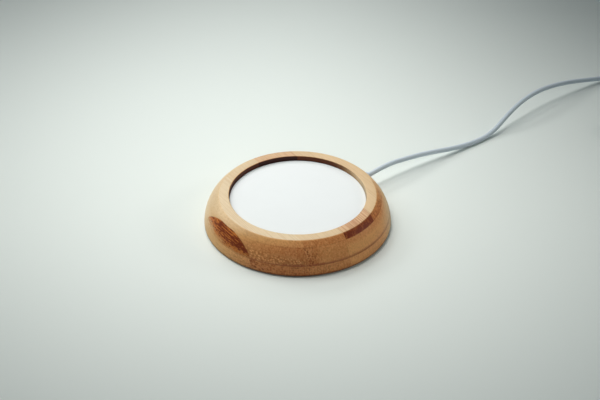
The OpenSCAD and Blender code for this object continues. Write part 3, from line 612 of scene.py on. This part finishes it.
    # Glue lines between strips and layers, seen best on the end grain
    glue_brown = (0.27, 0.053, 0.024, 1)
    seam_gap, seam_share = (0.03, 0.18), 0.25
    low_under, low_over, low_share = (-0.25, 0.15), (0.2, 1.4), 0.80
    uneven_span, least_uneven = (0.25, 0.6), 0.55
    left_reach, left_line, mid_line = (-45.0, -28.0), 0.40, 0.94
    right_reach, right_line = (4.0, 30.0), 0.55
    high_gap, high_share = (0.03, 0.3), 0.16
    side_line_share = 0.15
    from_seam = maths(tree, "MINIMUM", in_strip, maths(tree, "SUBTRACT", 1.0, in_strip))
    strip_line = stepped(tree, times(tree, from_seam, strip_w), seam_gap, seam_share, 0.0)
    low_line = stepped(tree, over_glue, low_under)
    for share in (stepped(tree, over_glue, low_over, low_share, 0.0),
                  stepped(tree, patchy, uneven_span, least_uneven, 1.0),
                  stepped(tree, across, left_reach, left_line, mid_line),
                  stepped(tree, across, right_reach, 1.0, right_line)):
        low_line = times(tree, low_line, share)
    from_high = maths(tree, "ABSOLUTE", maths(tree, "SUBTRACT", up, glue_high_z))
    high_line = stepped(tree, from_high, high_gap, high_share, 0.0)
    line = maths(tree, "MAXIMUM", strip_line, maths(tree, "MAXIMUM", low_line, high_line))
    line = times(tree, line, ranged(tree, end_grain, side_line_share, 1.0))
    wood = mixed(tree, line, wood, glue_brown)

    # Painted shade at the foot's edge, and the bored wall, where the lacquer soaks in and dries dark
    foot_painted_shade = (0.050, 0.017, 0.007, 1)
    bore_brown = (0.125, 0.028, 0.007, 1)
    bore_left = (0.072, 0.011, 0.003, 1)
    bore_red = (0.036, 0.005, 0.002, 1)
    ring_dark = (0.012, 0.004, 0.002, 1)
    foot_shade_heights, foot_shade_most, side_foot_shade = (0.5, 1.75), 0.80, 0.55
    bore_mm = opening_r / MM
    soak_span, soak_share = (bore_mm + 0.02, bore_mm + 0.22), 0.97
    soak_facing, least_soak = (-0.15, 0.45), 0.1
    ring_scale, ring_span, ring_share = (0.015, 0.015, 2.4), (0.50, 0.66), 0.55
    # Painted shade where the foot meets the table, stronger on the end grain
    foot_shade_share = times(tree, stepped(tree, up, foot_shade_heights, foot_shade_most, 0.0),
                       ranged(tree, end_grain, side_foot_shade, 1.0))
    wood = mixed(tree, foot_shade_share, wood, foot_painted_shade)
    from_middle = add(tree, "ShaderNodeVectorMath", {
        0: stretched(tree, in_mm, (1, 1, 0))}, operation="LENGTH").outputs["Value"]
    bored = stepped(tree, from_middle, soak_span, soak_share, 0.0)
    bored = times(tree, bored, stepped(tree, facing, soak_facing, least_soak, 1.0))
    bore = mixed(tree, left_half, bore_brown, bore_left)
    bore = mixed(tree, red_strip, bore, bore_red)
    rings = stepped(tree, streaked(tree, in_mm, ring_scale, 1.0), ring_span)
    bore = mixed(tree, times(tree, rings, ring_share), bore, ring_dark)
    wood = mixed(tree, bored, wood, bore)

    # Satin lacquer, a little rougher on the end grain and sunk at the dots and glue lines
    least_rough, dot_rough, end_rough = 0.40, 0.06, 0.10
    rough = maths(tree, "MULTIPLY_ADD", dots, dot_rough, least_rough)
    rough = maths(tree, "MULTIPLY_ADD", end_grain, end_rough, rough)
    link_to(tree, shader, Base_Color=wood, Roughness=rough)
    shader.inputs["Specular IOR Level"].default_value = specular
    shader.inputs["Coat Weight"].default_value = coat
    shader.inputs["Coat Roughness"].default_value = 0.35
    height = maths(tree, "SUBTRACT", 1.0, maths(tree, "ADD", dots, line))
    bump(tree, shader, height, strength=0.25, depth=0.05 * MM)
    return made


bamboo = bamboo_finish("laminated_bamboo", specular=0.22, coat=0.05)
soaked_bamboo = bamboo_finish("soaked_bamboo", specular=0.0, coat=0.0)
ring_outline = [(opening_r, rim_z, bore_round), (rim_r, rim_z, crease_round)]
ring_outline += [(r, z, 0.0) for r, z in bowed_side()]
ring_outline += [
    (pad_r, foot_z, foot_round), (base_seat_r, foot_z, inner_round), (base_seat_r, base_top_z, 0.0),
    (cavity_r, base_top_z, 0.0), (cavity_r, ledge_z, 0.0), (opening_r, ledge_z, inner_round)]
bamboo_ring = turned("bamboo_ring", ring_outline, bamboo, lead_hole_d, lead_z)
# The bored wall takes the finish without shine, because there the lacquer has soaked in
bamboo_ring.data.materials.append(soaked_bamboo)
for face in bamboo_ring.data.polygons:
    if ledge_z < face.center.z < rim_z - bore_round and face.center.xy.length < opening_r + bore_round / 2:
        face.material_index = 1
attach(bamboo_ring, "root")
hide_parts("bamboo_shell")

# Charging plate and the ring that bonds it
# A moulded white plastic top hat with a fine matte face, pushed up from below and bonded under the bamboo's
# ledge with a double-sided ring.


def moulded_group():
    """Fine moulded grain with a slow drift of tone, for plastics, rubber and foam."""
    made, given = new_group(
        "moulded_skin", "ShaderNodeTree",
        {"Light": "Color", "Dark": "Color", "Grain": "Float", "Roughness": "Float"},
        {"Color": "Color", "Roughness": "Float", "Height": "Float"})
    drifts_per_m = 90.0
    drift_share = 0.6
    rough_swing = 0.16
    place = object_place(made)
    drift = noise(made, place, drifts_per_m)
    grain = noise(made, place, given["Grain"], 2.0, 0.6)
    shade = maths(made, "MULTIPLY_ADD", drift, drift_share, times(made, grain, 1 - drift_share))
    swing = maths(made, "SUBTRACT", grain, 0.5)
    rough = maths(made, "MULTIPLY_ADD", swing, rough_swing, given["Roughness"])
    add(made, "NodeGroupOutput", {
        "Color": mixed(made, shade, given["Light"], given["Dark"]), "Roughness": rough, "Height": grain})
    return made


MOULDED = moulded_group()


def moulded(name, light, dark, rough, grain=2500.0, depth=0.012 * MM, specular=0.4):
    """A moulded finish of two near tones."""
    made, tree, shader = finish(name)
    skin = add(tree, "ShaderNodeGroup", {
        "Light": (*light, 1), "Dark": (*dark, 1), "Grain": grain, "Roughness": rough},
        node_tree=MOULDED).outputs
    link_to(tree, shader, Base_Color=skin["Color"], Roughness=skin["Roughness"])
    shader.inputs["Specular IOR Level"].default_value = specular
    bump(tree, shader, skin["Height"], strength=0.3, depth=depth)
    return made


def dress(finish_used, *names):
    """Gives CAD nodes their finish."""
    for name in names:
        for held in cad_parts[name].material_slots:
            held.material = finish_used


white_plastic = moulded("white_plastic", (0.797, 0.842, 0.854), (0.764, 0.805, 0.815), rough=0.55)
dress(white_plastic, "charging_plate")
tape = moulded("bonding_tape", (0.74, 0.68, 0.52), (0.66, 0.60, 0.44), rough=0.6)
dress(tape, "plate_bond_ring", "coil_film")

# Winding, ferrite and foam
# Enamelled copper wire wound flat on an adhesive film, a sintered ferrite shield behind it, and closed-cell
# foam that presses both up against the plate.


def metal_group():
    """Fine drawn scratches and a little tarnish, for wire, screws and stampings."""
    made, given = new_group(
        "drawn_metal", "ShaderNodeTree",
        {"Bright": "Color", "Dull": "Color", "Stretch": "Vector", "Roughness": "Float"},
        {"Color": "Color", "Roughness": "Float", "Height": "Float"})
    spots_per_m = 300.0
    tarnish_span = (0.35, 0.75)
    rough_swing = 0.22
    place = object_place(made)
    scratch = streaked(made, place, given["Stretch"], 4.0, 0.7)
    tarnish = noise(made, place, spots_per_m, 3.0)
    shade = stepped(made, tarnish, tarnish_span)
    swing = maths(made, "SUBTRACT", scratch, 0.5)
    rough = maths(made, "MULTIPLY_ADD", swing, rough_swing, given["Roughness"])
    add(made, "NodeGroupOutput", {
        "Color": mixed(made, shade, given["Bright"], given["Dull"]), "Roughness": rough, "Height": scratch})
    return made


METAL = metal_group()


def metal(name, bright, dull, rough):
    """A drawn or stamped metal of two near tones."""
    made, tree, shader = finish(name)
    stretch = (900.0, 9000.0, 9000.0)
    skin = add(tree, "ShaderNodeGroup", {
        "Bright": (*bright, 1), "Dull": (*dull, 1), "Stretch": stretch, "Roughness": rough},
        node_tree=METAL).outputs
    link_to(tree, shader, Base_Color=skin["Color"], Roughness=skin["Roughness"])
    shader.inputs["Metallic"].default_value = 1.0
    bump(tree, shader, skin["Height"], strength=0.15, depth=0.008 * MM)
    return made


copper = metal("enamelled_copper", (0.60, 0.25, 0.10), (0.45, 0.17, 0.06), rough=0.3)
dress(copper, "charging_coil")
ferrite = moulded("sintered_ferrite", (0.055, 0.053, 0.052), (0.035, 0.034, 0.034), rough=0.7,
                  grain=1800.0, depth=0.03 * MM)
dress(ferrite, "ferrite_disc")
foam = moulded("closed_cell_foam", (0.12, 0.125, 0.13), (0.07, 0.075, 0.08), rough=0.9,
               grain=1500.0, depth=0.12 * MM, specular=0.1)
dress(foam, "foam_pad")

# Circuit board and what is soldered to it
# A glass-fibre board with green solder mask, moulded black packages, ceramic capacitors, and plated steel
# screws that hang it on the plate.
mask = moulded("solder_mask", (0.02, 0.16, 0.07), (0.014, 0.11, 0.05), rough=0.35, grain=1200.0)
dress(mask, "circuit_board")
epoxy = moulded("black_epoxy", (0.03, 0.03, 0.032), (0.02, 0.02, 0.022), rough=0.5,
                grain=3500.0, depth=0.02 * MM)
dress(epoxy, "controller_chip", "bridge_transistors", "chip_resistors", "sense_resistor")
ceramic = moulded("capacitor_ceramic", (0.44, 0.29, 0.15), (0.36, 0.23, 0.11), rough=0.4, grain=2600.0)
dress(ceramic, "resonant_capacitors", "bulk_capacitors")
plated = metal("plated_steel", (0.66, 0.67, 0.68), (0.50, 0.51, 0.53), rough=0.28)
dress(plated, "solder_joints", "board_screws")

# Base plate and foot
# A moulded charcoal base, screwed up into the bamboo, with a groove in which a dark silicone ring hides the
# screws and grips the table. A white bar clamps the lead's tail on it.
charcoal = moulded("charcoal_plastic", (0.036, 0.037, 0.04), (0.024, 0.025, 0.027), rough=0.6)
dress(charcoal, "base_plate")
dress(white_plastic, "cable_clamp")
dress(plated, "base_screws", "clamp_screws")
silicone = moulded("silicone", (0.055, 0.06, 0.065), (0.035, 0.04, 0.045), rough=0.75,
                   grain=1600.0, depth=0.03 * MM, specular=0.3)
dress(silicone, "foot_ring")

# Lead inside the pad
# The jacketed tail in its moulded gland, and the two insulated cores to the board.
jacket = moulded("lead_jacket", (0.62, 0.70, 0.77), (0.545, 0.625, 0.695), rough=0.5,
                 grain=1400.0, depth=0.02 * MM, specular=0.25)
dress(jacket, "lead_gland", "lead_tail")
red_core = moulded("red_core", (0.50, 0.03, 0.025), (0.38, 0.02, 0.018), rough=0.4)
dress(red_core, "power_core")
black_core = moulded("black_core", (0.03, 0.03, 0.032), (0.02, 0.02, 0.022), rough=0.4)
dress(black_core, "ground_core")

# Lead
# One metre of thin two-core lead with a satin light-grey jacket. It arches out of the gland to the table,
# arches once more, and the rest is wound in two layers and tied.
lead_d = 2.5 * MM
gland_out = Vector((0.0, gland_high.y, lead_z))
lead_route = [
    (-0.3, 54, 7.6), (-0.4, 62, 7.5), (0, 71, 6.6), (0.8, 81, 5.5), (2, 91, 4.1),
    (3.4, 101, 2.6), (4.4, 111, 1.5), (5, 119, 1.3), (4.9, 126, 1.5), (4.2, 133, 2.8), (2.7, 141, 5.1),
    (1.3, 149, 7.4), (0, 158, 9), (-0.9, 167, 9.7), (-1.4, 177, 9.4), (-1.2, 189, 8), (-0.3, 201, 6),
    (1.2, 213, 3.6), (2.8, 222, 2.1), (4.1, 231, 1.6), (4.8, 238, 1.8)]
route_steps = 8
loop_start_x = 5.0 * MM
coil_y = 246.0 * MM
loops = 8.5
loop_in_r = 8.3 * MM
loop_gap = 0.48 * MM
loop_pitch = lead_d + loop_gap
loop_out_r = loop_in_r + loop_pitch * loops / 2
coil_x = loop_start_x + loop_out_r
loop_soft = 0.004
loop_z = 1.9 * MM
loop_steps = 48
tail_run = 14.0 * MM
tail_steps = 8
plug_z = 4.0 * MM


def eased(share):
    """A smooth step from 0 to 1."""
    share = min(max(share, 0.0), 1.0)
    return share * share * (3 - 2 * share)


def smooth_route(points, steps):
    """A smooth curve through every point."""
    made = []
    for k in range(len(points) - 1):
        a = points[max(k - 1, 0)]
        b, c = points[k], points[k + 1]
        d = points[min(k + 2, len(points) - 1)]
        for step in range(steps):
            t = step / steps
            made.append(0.5 * (2 * b + (c - a) * t + (2 * a - 5 * b + 4 * c - d) * t * t
                               + (3 * b - a - 3 * c + d) * t * t * t))
    return made + [points[-1]]


def loop_point(turn):
    """A point of the tied coil: in along the lower layer, a climb, and out along the upper layer."""
    angle = math.radians(180 - 360 * turn)
    r = loop_in_r + loop_pitch * math.sqrt((turn - loops / 2) ** 2 + loop_soft)
    z = loop_z + loop_pitch * eased((turn - loops / 2) * 2 + 0.5)
    return Vector((coil_x + r * math.cos(angle), coil_y + r * math.sin(angle), z))


straight = Vector((0.0, lead_d, 0.0))
turns = [loop_point(k / loop_steps) for k in range(int(loops * loop_steps) + 1)]
coil_in = turns[0] - straight
out_x = coil_x + loop_out_r
coil_tail = []
for k in range(1, tail_steps + 1):
    share = k / tail_steps
    tail_z = turns[-1].z + (plug_z - turns[-1].z) * eased(share)
    coil_tail.append(Vector((out_x, turns[-1].y - tail_run * share, tail_z)))
route = [gland_out + straight] + [Vector(p) * MM for p in lead_route] + [coil_in - straight]
lead_path = [gland_out] + smooth_route(route, route_steps) + [coil_in] + turns + coil_tail
lead_path.append(coil_tail[-1] - straight)

lead_curve = bpy.data.curves.new("lead_line", "CURVE")
lead_curve.dimensions = "3D"
lead_curve.bevel_depth = lead_d / 2
lead_curve.bevel_resolution = 5
spline = lead_curve.splines.new("POLY")
spline.points.add(len(lead_path) - 1)
for point, place in zip(spline.points, lead_path):
    point.co = (*place, 1.0)
spline.use_smooth = True
lead_line = bpy.data.objects.new("lead_line", lead_curve)
scene.collection.objects.link(lead_line)
lead_curve.materials.append(jacket)
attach(lead_line, "root")
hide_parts("lead", "lead_coil")

# Tie and plug
# A plastic-coated tie round the coil, and a moulded plug with a folded steel shell, an insulating tongue and
# four gold-plated contacts.
tie = moulded("coated_tie", (0.82, 0.82, 0.80), (0.74, 0.74, 0.72), rough=0.5)
dress(tie, "coil_tie")
dress(jacket, "plug_grip")
dress(plated, "plug_shell")
insulator = moulded("white_insulator", (0.88, 0.88, 0.86), (0.82, 0.82, 0.80), rough=0.35)
dress(insulator, "plug_tongue")
gold = metal("gold_plate", (0.80, 0.58, 0.22), (0.68, 0.46, 0.16), rough=0.25)
dress(gold, "plug_contacts")
